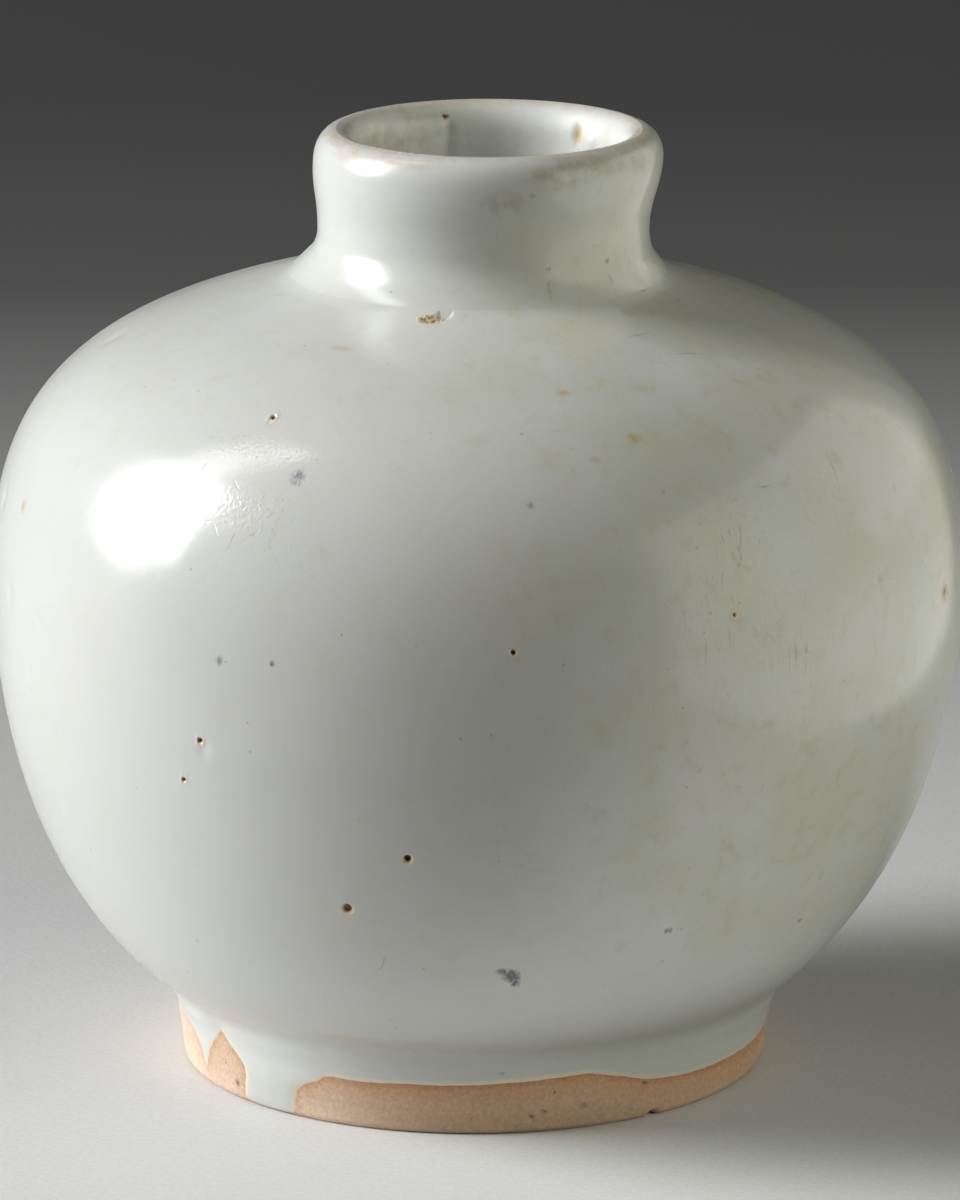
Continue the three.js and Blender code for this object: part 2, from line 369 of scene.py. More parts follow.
def hexColour(text):  # sRGB hex to the linear colour that the shader takes
    parts = [int(text[start:start + 2], 16) / 255 for start in (1, 3, 5)]
    linear = [part / 12.92 if part <= 0.04045 else ((part + 0.055) / 1.055) ** 2.4 for part in parts]
    return (*linear, 1.0)


def perSize(size):  # texture scale for a pattern of that size in mm
    return 1 / (size * mm)


def addNode(tree, kind, sockets={}, output=0, **settings):  # gives the output that the next node takes
    node = tree.nodes.new("ShaderNode" + kind)
    for name, value in settings.items():
        setattr(node, name, value)
    for name, value in sockets.items():
        if isinstance(value, bpy.types.NodeSocket):
            tree.links.new(value, node.inputs[name])
        else:
            node.inputs[name].default_value = value
    return node.outputs[output] if node.outputs else node


def newMaterial(name):
    material = bpy.data.materials.new(name)
    material.use_nodes = True
    material.node_tree.nodes.clear()
    return material, material.node_tree


# Glazed porcelain: a clear, faintly green glass over white clay, dipped. It gives soft-edged reflections on
# a slow uneven surface, with colour where it pools, and pits, iron spots, scratches and stains of use.
# Some of its colour is painted light: painted shade low on the foot and in the crease above it, painted
# shade inside the bore on the left, and a painted highlight on the lamp side of the pinhole rims.
glazeLook = {
    "white": "#dcddda", "cool": "#d9dcda", "olive": "#cbcbb1", "smudge": "#c3bf95", "poolAndShade": "#b4b7b0",
    "haloAndHighlight": "#ecdfc2", "thin": "#c6ae94", "grimeAndShade": "#a3996f", "ochre": "#c3a462", "cobalt": "#72757f",
    "clay": "#d2b88e", "crumb": "#835a32", "rust": "#8f6238", "iron": "#33201a", "scratch": "#8d8a72",
    "roughness": 0.17, "ior": 1.52, "upright": 0.08, "drift": 6.0,
    "crackSize": 8.0, "speckSize": 3.4, "pitSize": 1.9,
}
glazeNoises = {  # size in mm, octaves
    "cloud": (26.0, 3.0), "stain": (9.0, 6.0), "smudge": (2.6, 5.0), "brush": (1.3, 4.0),
    "crumb": (0.45, 2.0), "streak": (0.32, 2.0), "peel": (6.0, 2.0), "ripple": (1.2, 3.0),
}
glazeRanges = {  # pattern, the values where it starts and is full, and what it gives there
    "clouded": ("cloud", 0.35, 0.7, 0.0, 1.0), "cast": ("stain", 0.3, 0.7, 0.08, 0.76),
    "smudged": ("smudge", 0.55, 0.76, 0.0, 0.5), "strokes": ("streak", 0.55, 0.72, 0.0, 1.0),
    "strokePatches": ("brush", 0.42, 0.6, 0.0, 1.0), "hairs": ("crack", 0.014, 0.004, 0.0, 1.0),
    "hairPatches": ("brush", 0.53, 0.64, 0.0, 1.0), "specks": ("speck", 0.055, 0.03, 0.0, 0.5),
    "crumbs": ("crumb", 0.52, 0.42, 0.0, 0.85), "pricks": ("pit", 0.0, 0.13, -0.01 * mm, 0.0),
    "sheen": ("stain", 0.3, 0.75, glazeLook["roughness"] * 0.8, glazeLook["roughness"] * 1.5),
}
glazeMarks = (  # mark, its colour, what breaks it up and how much, weights where it starts and is full
    ("poolAndShade", "poolAndShade", "brush", 0.28, 0.0, 1.0), ("thin", "thin", "brush", 2.52, 0.1, 1.2),
    ("grimeAndShade", "grimeAndShade", "brush", 4.2, 0.1, 1.4), ("ochre", "ochre", "brush", 1.4, 0.1, 1.1),
    ("scratch", "scratch", "brush", 2.52, 0.15, 1.3), ("haloAndHighlight", "haloAndHighlight", "brush", 0.84, 0.1, 0.9),
    ("rust", "rust", "brush", 0.56, 0.25, 0.6), ("iron", "iron", "brush", 0.56, 0.45, 0.8),
    ("cobalt", "cobalt", "streak", 2.2, 0.22, 0.85), ("bare", "clay", "crumb", 1.6, 0.3, 0.62),
)


def glazeMaterial():
    look = glazeLook
    material, tree = newMaterial("glazed_porcelain")
    place = addNode(tree, "TexCoord", output="Object")
    upright = addNode(tree, "Mapping", {"Vector": place, "Scale": (1.0, 1.0, look["upright"])})
    patterns = {}
    for name, (size, octaves) in glazeNoises.items():
        where = upright if name == "streak" else place
        sockets = {"Vector": where, "Scale": perSize(size), "Detail": octaves}
        patterns[name] = addNode(tree, "TexNoise", sockets)

    # hairlines wander, so the cells that they run between are drawn on drifting coordinates
    peelSize = glazeNoises["peel"][0]
    drift = addNode(tree, "TexNoise", {"Vector": place, "Scale": perSize(peelSize), "Detail": 1.0}, "Color")
    drifted = {0: drift, 1: (look["drift"] * mm,) * 3, 2: place}
    wander = addNode(tree, "VectorMath", drifted, operation="MULTIPLY_ADD")
    cracks = {"Vector": wander, "Scale": perSize(look["crackSize"])}
    patterns["crack"] = addNode(tree, "TexVoronoi", cracks, feature="DISTANCE_TO_EDGE")
    for name in ("speck", "pit"):
        sockets = {"Vector": place, "Scale": perSize(look[name + "Size"])}
        patterns[name] = addNode(tree, "TexVoronoi", sockets)
    ranged = {}
    for name, (pattern, low, high, start, end) in glazeRanges.items():
        sockets = {"Value": patterns[pattern], "From Min": low, "From Max": high}
        ranged[name] = addNode(tree, "MapRange", {**sockets, "To Min": start, "To Max": end})

    # the ground: white to cool white in slow clouds, with an olive cast, smudges, fine upright scratches and
    # hairlines, all heavier where the olive-cast weight is high (painted shade inside the bore), and specks
    # all over
    castAndShade = addNode(tree, "Attribute", output="Fac", attribute_name="castAndShade")
    castShare = addNode(tree, "Math", {0: castAndShade, 1: 0.84, 2: 0.02}, operation="MULTIPLY_ADD")
    castRub = addNode(tree, "Math", {0: castAndShade, 1: 0.12}, operation="MULTIPLY")
    rubbed = addNode(tree, "Attribute", output="Fac", attribute_name="rubbed")
    rubbed = addNode(tree, "Math", {0: rubbed, 1: 0.5, 2: castRub}, operation="MULTIPLY_ADD")
    fine = addNode(tree, "Math", {0: ranged["strokes"], 1: ranged["strokePatches"]}, operation="MULTIPLY")
    hair = addNode(tree, "Math", {0: ranged["hairs"], 1: ranged["hairPatches"]}, operation="MULTIPLY")
    faintHair = addNode(tree, "Math", {0: hair, 1: 0.17}, operation="MULTIPLY")
    ground = [(ranged["clouded"], "cool")]
    for pattern, share, tone in (
        (ranged["cast"], castShare, "olive"), (ranged["smudged"], castShare, "smudge"),
        (fine, rubbed, "scratch"), (faintHair, castShare, "scratch"),
    ):
        ground.append((addNode(tree, "Math", {0: pattern, 1: share}, operation="MULTIPLY"), tone))
    ground.append((ranged["specks"], "grimeAndShade"))

    # marks given in lists, broken up by brush noise, the cobalt by upright strokes, the bare clay by crumbs
    shares = {}
    for name, tone, pattern, ragged, low, high in glazeMarks:
        weight = addNode(tree, "Attribute", output="Fac", attribute_name=name)
        broken = addNode(tree, "Math", {0: patterns[pattern], 1: -0.5}, operation="ADD")
        broken = addNode(tree, "Math", {0: broken, 1: weight}, operation="MULTIPLY")
        total = addNode(tree, "Math", {0: broken, 1: ragged, 2: weight}, operation="MULTIPLY_ADD")
        shares[name] = addNode(tree, "MapRange", {"Value": total, "From Min": low, "From Max": high})
        ground.append((shares[name], tone))
    crumbled = addNode(tree, "Math", {0: shares["bare"], 1: ranged["crumbs"]}, operation="MULTIPLY")
    ground.append((crumbled, "crumb"))
    colour = hexColour(look["white"])
    for share, tone in ground:
        sockets = {0: share, 6: colour, 7: hexColour(look[tone])}
        colour = addNode(tree, "Mix", sockets, 2, data_type="RGBA")

    # relief in mm: pricks, hairlines, slow swell of the glass, ripple, crumbs where it is bare or rubbed
    bareCrumb = addNode(tree, "Math", {0: patterns["crumb"], 1: shares["bare"]}, operation="MULTIPLY")
    rubbedCrumb = addNode(tree, "Math", {0: patterns["crumb"], 1: rubbed}, operation="MULTIPLY")
    relief = ranged["pricks"]
    for pattern, depth in (
        (hair, -0.006), (patterns["peel"], 0.035), (patterns["ripple"], 0.006),
        (bareCrumb, 0.3), (rubbedCrumb, 0.08),
    ):
        relief = addNode(tree, "Math", {0: pattern, 1: depth * mm, 2: relief}, operation="MULTIPLY_ADD")
    bump = addNode(tree, "Bump", {"Height": relief, "Distance": 1.0, "Strength": 1.0})
    dull = addNode(tree, "Attribute", output="Fac", attribute_name="dull")
    rough = ranged["sheen"]
    for share, amount in (
        (shares["bare"], 0.6), (shares["thin"], 0.25), (shares["grimeAndShade"], 0.25), (dull, 0.3),
    ):
        rough = addNode(tree, "Math", {0: share, 1: amount, 2: rough}, operation="MULTIPLY_ADD")
    shader = addNode(tree, "BsdfPrincipled", {
        "Base Color": colour, "Roughness": rough, "IOR": look["ior"], "Normal": bump,
    })
    addNode(tree, "OutputMaterial", {"Surface": shader})
    return material


# Bare porcelain clay: dry and matt, turned on the wheel. It shows fine grit, level turning lines, a rust
# line under the glaze edge where iron gathered, an ember flush below that, and a greyer tone near the table.
# It is painted paler on the lit left side, which is painted light.
clayLook = {
    "flush": "#c69f82", "buff": "#c1a68c", "khaki": "#b29c82", "ember": "#bf9267", "rust": "#a37243",
    "pale": "#dfc8b3", "speck": "#5a3c2a", "roughness": 0.86, "ior": 1.5,
    "gritSize": 0.4, "patchSize": 5.0, "lineSize": 0.9, "speckSize": 3.6, "lineStretch": 9.0,
    "gritRelief": 0.06, "lineRelief": 0.05,
}
clayRanges = {  # pattern, the values where it starts and is full, and what it gives there
    "low": ("height", 3.2 * mm, 0.4 * mm, 0.0, 1.0), "greyPatches": ("patch", 0.2, 0.6, 0.0, 1.0),
    "flushed": ("wander", 2.8, 0.4, 0.0, 1.0), "flushPatches": ("patch", 0.25, 0.7, 0.25, 0.9),
    "rusted": ("wander", 1.0, 0.2, 0.0, 0.55), "dots": ("dot", 0.06, 0.035, 0.0, 0.7),
    "tint": ("grit", 0.25, 0.75, 0.84, 1.12),
}


def footMaterial():
    look = clayLook
    material, tree = newMaterial("bare_porcelain_clay")
    place = addNode(tree, "TexCoord", output="Object")
    level = addNode(tree, "Mapping", {"Vector": place, "Scale": (1.0, 1.0, look["lineStretch"])})
    patterns = {"height": addNode(tree, "SeparateXYZ", {0: place}, "Z")}
    for name, where, size, octaves in (
        ("grit", place, look["gritSize"], 3.0), ("patch", place, look["patchSize"], 4.0),
        ("line", level, look["lineStretch"] * look["lineSize"], 3.0),
    ):
        sockets = {"Vector": where, "Scale": perSize(size), "Detail": octaves}
        patterns[name] = addNode(tree, "TexNoise", sockets)
    patterns["dot"] = addNode(tree, "TexVoronoi", {"Vector": place, "Scale": perSize(look["speckSize"])})
    painted = {}
    for name in ("reach", "pale", "speck"):  # reach is in mm under the glaze line
        painted[name] = addNode(tree, "Attribute", output="Fac", attribute_name=name)
    gritty = {0: patterns["grit"], 1: 0.5, 2: painted["reach"]}
    patterns["wander"] = addNode(tree, "Math", gritty, operation="MULTIPLY_ADD")
    ranged = {}
    for name, (pattern, low, high, start, end) in clayRanges.items():
        sockets = {"Value": patterns[pattern], "From Min": low, "From Max": high}
        ranged[name] = addNode(tree, "MapRange", {**sockets, "To Min": start, "To Max": end})

    unpaled = addNode(tree, "Math", {0: painted["pale"], 1: -0.8, 2: 1.0}, operation="MULTIPLY_ADD")
    grey = addNode(tree, "Math", {0: ranged["low"], 1: ranged["greyPatches"]}, operation="MULTIPLY")
    ember = addNode(tree, "Math", {0: ranged["flushed"], 1: ranged["flushPatches"]}, operation="MULTIPLY")
    ember = addNode(tree, "Math", {0: ember, 1: unpaled}, operation="MULTIPLY")
    rust = addNode(tree, "Math", {0: ranged["rusted"], 1: unpaled}, operation="MULTIPLY")
    dark = addNode(tree, "Math", {0: ranged["dots"], 1: painted["speck"]}, operation="MAXIMUM")
    colour = hexColour(look["flush"])
    for share, tone in (
        (patterns["patch"], "buff"), (grey, "khaki"), (painted["pale"], "pale"),
        (ember, "ember"), (rust, "rust"), (dark, "speck"),
    ):
        sockets = {0: share, 6: colour, 7: hexColour(look[tone])}
        colour = addNode(tree, "Mix", sockets, 2, data_type="RGBA")
    colour = addNode(tree, "VectorMath", {0: colour, "Scale": ranged["tint"]}, operation="SCALE")

    relief = addNode(tree, "Math", {0: patterns["line"], 1: look["lineRelief"] * mm}, operation="MULTIPLY")
    gritty = {0: patterns["grit"], 1: look["gritRelief"] * mm, 2: relief}
    relief = addNode(tree, "Math", gritty, operation="MULTIPLY_ADD")
    bump = addNode(tree, "Bump", {"Height": relief, "Distance": 1.0, "Strength": 1.0})
    shader = addNode(tree, "BsdfPrincipled", {
        "Base Color": colour, "Roughness": look["roughness"], "IOR": look["ior"], "Normal": bump,
    })
    addNode(tree, "OutputMaterial", {"Surface": shader})
    return material


# Biscuit porcelain and luting slip: the body under the glaze. Only the floor inside the foot ring shows,
# with the rings that the turning tool left round the axis.
bodyLook = {
    "pale": "#d8c6b1", "dark": "#c7ae94", "slipPale": "#dccbb8", "slipDark": "#cdb79f",
    "roughness": 0.84, "ior": 1.5, "ringSize": 1.7, "gritSize": 0.4, "ringRelief": 0.08, "gritRelief": 0.05,
}


def bodyMaterial(name, pale, dark):
    look = bodyLook
    material, tree = newMaterial(name)
    place = addNode(tree, "TexCoord", output="Object")
    ringScale = perSize(look["ringSize"]) / 20 * math.pi  # each ring, light or dark, is one ring size wide
    rings = addNode(tree, "TexWave", {
        "Vector": place, "Scale": ringScale, "Distortion": 1.6, "Detail": 3.0, "Detail Scale": 1.2,
    }, "Fac", wave_type="RINGS", rings_direction="Z")
    grit = addNode(tree, "TexNoise", {"Vector": place, "Scale": perSize(look["gritSize"]), "Detail": 3.0})
    share = addNode(tree, "Math", {0: rings, 1: grit}, operation="MULTIPLY")
    colour = addNode(tree, "Mix", {0: share, 6: hexColour(pale), 7: hexColour(dark)}, 2, data_type="RGBA")
    relief = addNode(tree, "Math", {0: rings, 1: look["ringRelief"] * mm}, operation="MULTIPLY")
    gritty = {0: grit, 1: look["gritRelief"] * mm, 2: relief}
    relief = addNode(tree, "Math", gritty, operation="MULTIPLY_ADD")
    bump = addNode(tree, "Bump", {"Height": relief, "Distance": 1.0, "Strength": 1.0})
    shader = addNode(tree, "BsdfPrincipled", {
        "Base Color": colour, "Roughness": look["roughness"], "IOR": look["ior"], "Normal": bump,
    })
    addNode(tree, "OutputMaterial", {"Surface": shader})
    return material


glaze = glazeMaterial()
bareClay = footMaterial()
bodyClay = bodyMaterial("biscuit_porcelain", bodyLook["pale"], bodyLook["dark"])
slipClay = bodyMaterial("luting_slip", bodyLook["slipPale"], bodyLook["slipDark"])
for node, finish in (
    ("lower_body", bodyClay), ("upper_body", bodyClay), ("neck", bodyClay),
    ("foot_luting", slipClay), ("belly_luting", slipClay), ("neck_luting", slipClay),
):
    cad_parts[node].data.materials.clear()
    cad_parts[node].data.materials.append(finish)
print("materials made")


# Outer glaze coat: from the line on the foot up to the crest of the lip

coat = {
    "columns": 400, "gapHeights": (8.0, 9.5, 12.0, 78.0, 81.0), "gaps": (0.28, 0.4, 1.18, 1.18, 0.45),
    "innerGap": 6.0, "innerFootGap": 1.6, "lineGap": 0.1, "footStart": 0.12, "footSoftness": 0.8,
    "skinReach": 0.2, "rimRise": 0.05, "bareDepth": 0.14, "scratchWidth": 0.11,
    "bandHeight": 43.4, "bandWidth": 1.4, "bandRise": 0.05, "unevenness": 0.05,
    "edgeThickness": 0.2, "edgeRise": 0.7, "footThinning": 0.36, "thinWidth": 1.7, "thinTop": 11.5,
}
bulges = [(88, 69, 26, 6, 0.42), (84, 36, 30, 9, -0.2)]  # angle, height, degrees wide, mm tall, mm out
pinholes = [  # angle, height, hole radius, depth, darkness
    (-16.0, 28.0, 0.47, 0.3, 0.5), (-8.2, 34.0, 0.38, 0.34, 1.0), (3.8, 55.5, 0.26, 0.25, 0.9),
    (-33.4, 44.4, 0.26, 0.22, 0.7), (-36.2, 39.9, 0.22, 0.2, 0.7), (-30.7, 75.1, 0.28, 0.2, 0.7),
    (30.2, 57.5, 0.17, 0.15, 0.6), (70.2, 53.2, 0.3, 0.2, 0.6), (152, 61, 0.35, 0.3, 0.8),
    (-131, 36, 0.3, 0.3, 1.0), (118, 30, 0.28, 0.25, 0.6),
]
dents = [  # angle, height, radius, depth
    (-33.0, 43.5, 0.75, 0.1), (-86.5, 76.2, 1.2, 0.12), (-79.7, 61.1, 1.0, 0.14), (-71.5, 53.0, 1.0, 0.1),
    (-62.0, 52.0, 0.8, 0.06), (86.7, 62.5, 1.1, 0.15), (-10.1, 82.45, 0.45, 0.28), (-9.0, 82.5, 0.5, 0.34),
    (-170, 70, 1.2, 0.12), (140, 44, 1.0, 0.1),
]
scratches = [  # from angle and height to angle and height, depth
    (33.2, 66.2, 32.0, 63.0, 0.006), (29.5, 62.3, 29.0, 59.9, 0.006), (38.5, 54.6, 38.5, 50.9, 0.005),
    (51.8, 70.5, 50.2, 66.2, 0.01), (37.0, 68.9, 40.0, 68.5, 0.006), (36.5, 67.2, 37.2, 66.0, 0.006),
    (39.0, 79.3, 49.8, 78.6, 0.008), (35.0, 80.4, 43.5, 80.6, 0.006), (-29.0, 64.2, -26.8, 66.0, 0.012),
    (-30.8, 63.5, -29.5, 65.4, 0.012), (-26.8, 66.7, -25.2, 67.6, 0.012), (-37.8, 69.4, -36.8, 71.0, 0.01),
    (-13.2, 20.5, -11.5, 22.7, 0.005),
]
spots = {  # angle, height, width, tallness, strength
    "ochre": [
        (22.7, 74.0, 0.8, 0.6, 0.75), (16.2, 72.5, 0.8, 0.5, 0.45), (14.8, 77.5, 0.8, 0.5, 0.6),
        (53.5, 57.7, 0.4, 0.5, 0.7), (61.7, 65.4, 0.4, 0.6, 0.5), (-70.0, 62.0, 0.6, 0.7, 0.8),
        (-29.0, 80.0, 1.6, 0.6, 0.4), (59.0, 82.9, 0.4, 0.4, 0.9), (70.2, 53.2, 1.0, 0.9, 1.2),
        (30.2, 57.5, 0.6, 0.6, 0.4), (-150, 66, 0.9, 0.7, 0.7), (171, 47, 0.7, 0.7, 0.6),
    ],
    "cobalt": [
        (4.8, 20.5, 0.95, 0.9, 1.0), (5.3, 20.1, 0.7, 0.8, 1.0), (3.6, 21.0, 0.7, 0.4, 0.9),
        (5.5, 19.5, 0.5, 0.65, 0.9), (-23.2, 70.7, 0.9, 1.2, 0.6), (-23.7, 53.3, 0.35, 0.35, 0.9),
        (-30.5, 52.9, 0.7, 0.6, 0.5), (5.2, 6.8, 0.6, 0.4, 0.45), (25.5, 24.5, 0.5, 0.5, 0.7),
        (49.2, 22.0, 0.5, 0.4, 0.7), (6.7, 69.0, 0.5, 0.5, 0.5), (22.7, 86.2, 0.35, 0.35, 0.6),
        (47.0, 86.2, 0.35, 0.35, 0.7), (14.5, 94.0, 0.35, 0.35, 0.6), (-115, 58, 0.7, 0.6, 0.8),
    ],
    "bare": [(-12.9, 82.1, 1.25, 0.85, 1.0)],
    "grimeAndShade": [
        (38, 96.3, 6.0, 1.0, 0.62), (18, 95.9, 2.2, 0.9, 0.6), (27, 95.2, 2.2, 0.9, 0.55),
        (56, 96.1, 3.0, 1.0, 0.5), (6, 93.2, 2.6, 1.3, 0.36), (130, 96.5, 6.0, 1.0, 0.45),
        (-135, 96.8, 4.0, 0.7, 0.4), (-62, 97.2, 4.5, 0.6, 0.42), (-88, 97.1, 4.0, 0.7, 0.42),
        (70, 97.1, 5.0, 0.7, 0.42), (-20, 97.3, 4.0, 0.4, 0.3),
    ],
    "thin": [
        (-34, 96.8, 5.0, 0.6, 0.75), (-54, 96.6, 3.0, 0.7, 0.6), (160, 97.4, 9.0, 0.5, 0.5),
        (95, 97.3, 5.0, 0.6, 0.4), (30.2, 57.5, 0.7, 0.7, 0.5),
    ],
    "rubbed": [  # patches of fine upright scratches
        (33, 65, 3.2, 2.6, 1.0), (29.5, 61, 3.0, 2.8, 0.8), (38, 53, 4.5, 4.0, 0.5), (27, 56, 3.0, 3.5, 0.6),
        (48, 66, 4.0, 4.0, 0.4), (-27.5, 67, 4.5, 3.0, 1.1), (-31, 72.5, 6.0, 1.6, 1.0),
        (-22, 64, 4.0, 3.0, 0.4), (-120, 60, 6.0, 5.0, 0.5), (160, 50, 6.0, 5.0, 0.6),
    ],
}

# the outside line from the table up, with the angle at the foot filled by the melted glass
footRise = np.linspace(coat["footStart"], footTop, 60)
footSide = np.stack([footClay(footRise), footRise], axis=1)
coatLine = respaced(joined(footSide + (form["clayDepth"], 0), outsideLine), evenly(coat["lineGap"]))
spread = np.exp(-((np.arange(-30, 31) * coat["lineGap"] / coat["footSoftness"]) ** 2) / 2)
spread /= spread.sum()
rounded = np.stack([np.convolve(coatLine[:, side], spread, "same") for side in (0, 1)], axis=1)
coatLine += (rounded - coatLine) * within(coatLine[:, 1], 5.2, 7.0, 11.5, 14.0)[:, None]
coatWay = np.gradient(coatLine, axis=0)
coatWay /= np.linalg.norm(coatWay, axis=1)[:, None]
coatArc = np.concatenate([[0], np.cumsum(np.linalg.norm(np.diff(coatLine, axis=0), axis=1))])


def outsideAt(height):  # radius and outward normal of the outside at a height
    columns = (coatLine[:, 0], coatWay[:, 1], -coatWay[:, 0])
    return tuple(np.interp(height, coatLine[:, 1], values) for values in columns)


def alongAt(height):  # mm along the profile, up from the foot
    return np.interp(height, coatLine[:, 1], coatArc)


def coatGap(height):
    return np.interp(height, coat["gapHeights"], coat["gaps"])


def spotFalloff(angle, along, spot):  # 1 in the middle of a mark, falling away round it
    middle, level, wide, tall = spot[:4]
    across = np.radians(turnFrom(angle, middle)) * outsideAt(level)[0]
    return np.exp(-((across / wide) ** 2 + ((along - alongAt(level)) / tall) ** 2))


def roundFalloff(angle, along, spot, size):  # the same for a round mark
    return spotFalloff(angle, along, (spot[0], spot[1], size, size))


def scratchGap(angle, along, scratch):  # mm from a scratch, and the share of its length there
    start, end = (np.array((math.radians(scratch[side]), alongAt(scratch[side + 1]))) for side in (0, 2))
    reach = outsideAt(scratch[1])[0]
    way = (end - start) * (reach, 1)
    point = np.stack([np.radians(turnFrom(angle, scratch[0])) * reach, along - start[1]], axis=1)
    share = np.clip(point @ way / (way @ way), 0, 1)
    aside = np.array((way[1], -way[0])) / np.linalg.norm(way)
    curl = 0.12 * np.sin(share * 6 + scratch[0])
    return np.linalg.norm(point - share[:, None] * way - curl[:, None] * aside, axis=1), share


def nearMarks(marks, widening, least, scratchReach):  # makes the test for the faces to cut
    def test(middles):
        angle, radius, height = polar(middles)
        along = alongAt(height)
        close = np.zeros(len(middles), bool)
        for spot in marks:
            close |= roundFalloff(angle, along, spot, max(spot[2] * widening, least)) > math.exp(-1)
        for scratch in scratches:
            close |= scratchGap(angle, along, scratch)[0] < scratchReach
        return close & (np.abs(radius - outsideAt(height)[0]) < coat["skinReach"])

    return test


outerSkin = respaced(coatLine, coatGap)
innerSkin = respaced(sunk(outsideLine, form["glaze"])[::-1], evenly(coat["innerGap"]))
innerFoot = respaced(footSide[::-1], evenly(coat["innerFootGap"]))
innerSkin[0] = (crestRadius, form["height"] - form["glaze"])
coatOutline = np.vstack([outerSkin, innerSkin, innerFoot[1:], outerSkin[:1]])
outerCoat = throwPiece("glaze_coat_outside", coatOutline, coat["columns"])
crowdColumns(outerCoat)
fineMarks = pinholes + dents + spots["bare"] + spots["cobalt"] + spots["ochre"]
smallMarks = [spot for spot in fineMarks if spot[2] < 1.4]
refineFaces(outerCoat, nearMarks(smallMarks, 2.2, 0.9, 0.6), 3)
refineFaces(outerCoat, nearMarks(pinholes, 1.8, 0.0, 0.25), 1)
angle, radius, height = polar(readPoints(outerCoat))
surface, across, up = outsideAt(height)
along = alongAt(height)
inFoot = height < footTop - 0.001
onSkin = np.where(inFoot, radius > footClay(height) + 0.3, np.abs(surface - radius) < coat["skinReach"])

# the fired form is a little uneven: a fuller right shoulder, a leaner lower right side, a faint level band
swell = coat["bandRise"] * bell(height, coat["bandHeight"], coat["bandWidth"])
swell += coat["unevenness"] * wobble(angle, height, 9.0, 1) * smooth(height, 10, 18)
for middle, level, wide, tall, rise in bulges:
    swell += rise * bell(angle, middle, wide) * bell(height, level, tall)

# marks pressed into the skin: pinholes with a raised rim, dents, scratches, the bare crescent
pressed = np.zeros(len(angle))
for spot in pinholes:
    away = np.sqrt(-np.log(np.maximum(roundFalloff(angle, along, spot, spot[2]), 1e-30)))
    pressed += spot[3] * np.exp(-(away**4)) - coat["rimRise"] * bell(away, 1.7, 0.6)
for spot in dents:
    pressed += spot[3] * roundFalloff(angle, along, spot, spot[2])
for scratch in scratches:
    gap, share = scratchGap(angle, along, scratch)
    pressed += scratch[4] * bell(gap, 0, coat["scratchWidth"]) * (0.5 + 0.5 * np.sin(share * 9))
for spot in spots["bare"]:
    pressed += coat["bareDepth"] * smooth(spotFalloff(angle, along, spot), 0.25, 0.7)
swell -= np.where(onSkin, pressed, 0)
radius = np.where(inFoot, radius, radius + swell * across)
height = np.where(inFoot, height, height + swell * up)

# on the foot the coat thins out to the glaze line and ends just under the skin of the bare clay
low = height < coat["thinTop"]
reach = np.full(len(angle), 9.0)
reach[low], closest = glazeReach(angle[low], height[low])
spare = np.clip((-0.3 - reach[low]) / np.maximum(-reach[low], 0.3), 0, 1)  # bare clay: drawn up to the line
angle[low] += (closest[:, 0] - angle[low]) * spare
height[low] += (closest[:, 1] - height[low]) * spare
glazed = np.maximum(reach, 0)
thinned = coat["footThinning"] * bell(glazed, 0, coat["thinWidth"])
thinned *= 1 - smooth(height, 9.0, coat["thinTop"])
radius = np.where(~inFoot & onSkin, radius - thinned, radius)
depth = np.maximum(surface - footClay(height) - thinned, coat["edgeThickness"])
full = coat["edgeThickness"] + (depth - coat["edgeThickness"]) * smooth(height, 5.0, footTop)
film = full * (1 - np.exp(-glazed / coat["edgeRise"]))
film = np.where(reach < 0, np.maximum(reach * 0.3, -0.085), film)
film += (depth - film) * smooth(height, footTop - 1.6, footTop) * smooth(reach, 0.1, 1.0)
under = -0.1 + 0.13 * smooth(reach, 0.1, 0.7)
radius = np.where(inFoot, footClay(height) + np.where(onSkin, film, under), radius)

# weights of the marks for the material
layers = {}
for name, places in spots.items():
    layers[name] = np.max([spot[4] * spotFalloff(angle, along, spot) for spot in places], axis=0)
cores = [roundFalloff(angle, along, spot, spot[2] * 1.05) for spot in pinholes]
# painted highlight: the cream rims sit a little down and to the right of each pinhole, on the side that
# faces the lamp; the cream fringe at the glaze edge on the foot is the glaze's own colour
rims = [roundFalloff(angle, along, (spot[0] + 0.2, spot[1] - 0.15), spot[2] * 1.75) for spot in pinholes]
layers["iron"] = np.max([core * spot[4] for core, spot in zip(cores, pinholes)], axis=0)
layers["rust"] = np.max(cores, axis=0)
layers["haloAndHighlight"] = np.maximum(np.max(rims, axis=0), np.where(inFoot, 0.55 * bell(glazed, 0, 0.5), 0))
layers["ochre"] = np.maximum(layers["ochre"], np.where(inFoot, 0.6 * bell(glazed, 0, 0.24), 0))
layers["scratch"] = np.zeros(len(angle))
for scratch in scratches:
    gap, share = scratchGap(angle, along, scratch)
    line = 0.62 * bell(gap, 0, 0.1) * np.sin(np.pi * share) ** 0.5
    layers["scratch"] = np.maximum(layers["scratch"], line)
# olive cast weight: heaviest on the right side, more on the shoulder, less on the neck (least on its left),
# fading out towards the foot
castAndShade = 0.13 + 0.72 * within(angle, -25, 35, 130, 175) + 0.3 * smooth(height, 66, 80)
castAndShade *= 1 - smooth(height, 83, 88) * (0.35 + 0.4 * within(-angle, -5, 30, 120, 170))
castAndShade *= smooth(height, 6, 30) * (1 + 0.3 * wobble(angle, height, 14.0, 3))
layers["castAndShade"] = np.clip(castAndShade, 0, 1)
crest = 0.6 * smooth(height, 96.8, 97.5) * (0.7 + 0.3 * wobble(angle, height, 3.0, 2))
layers["thin"] = np.maximum(layers["thin"], crest)
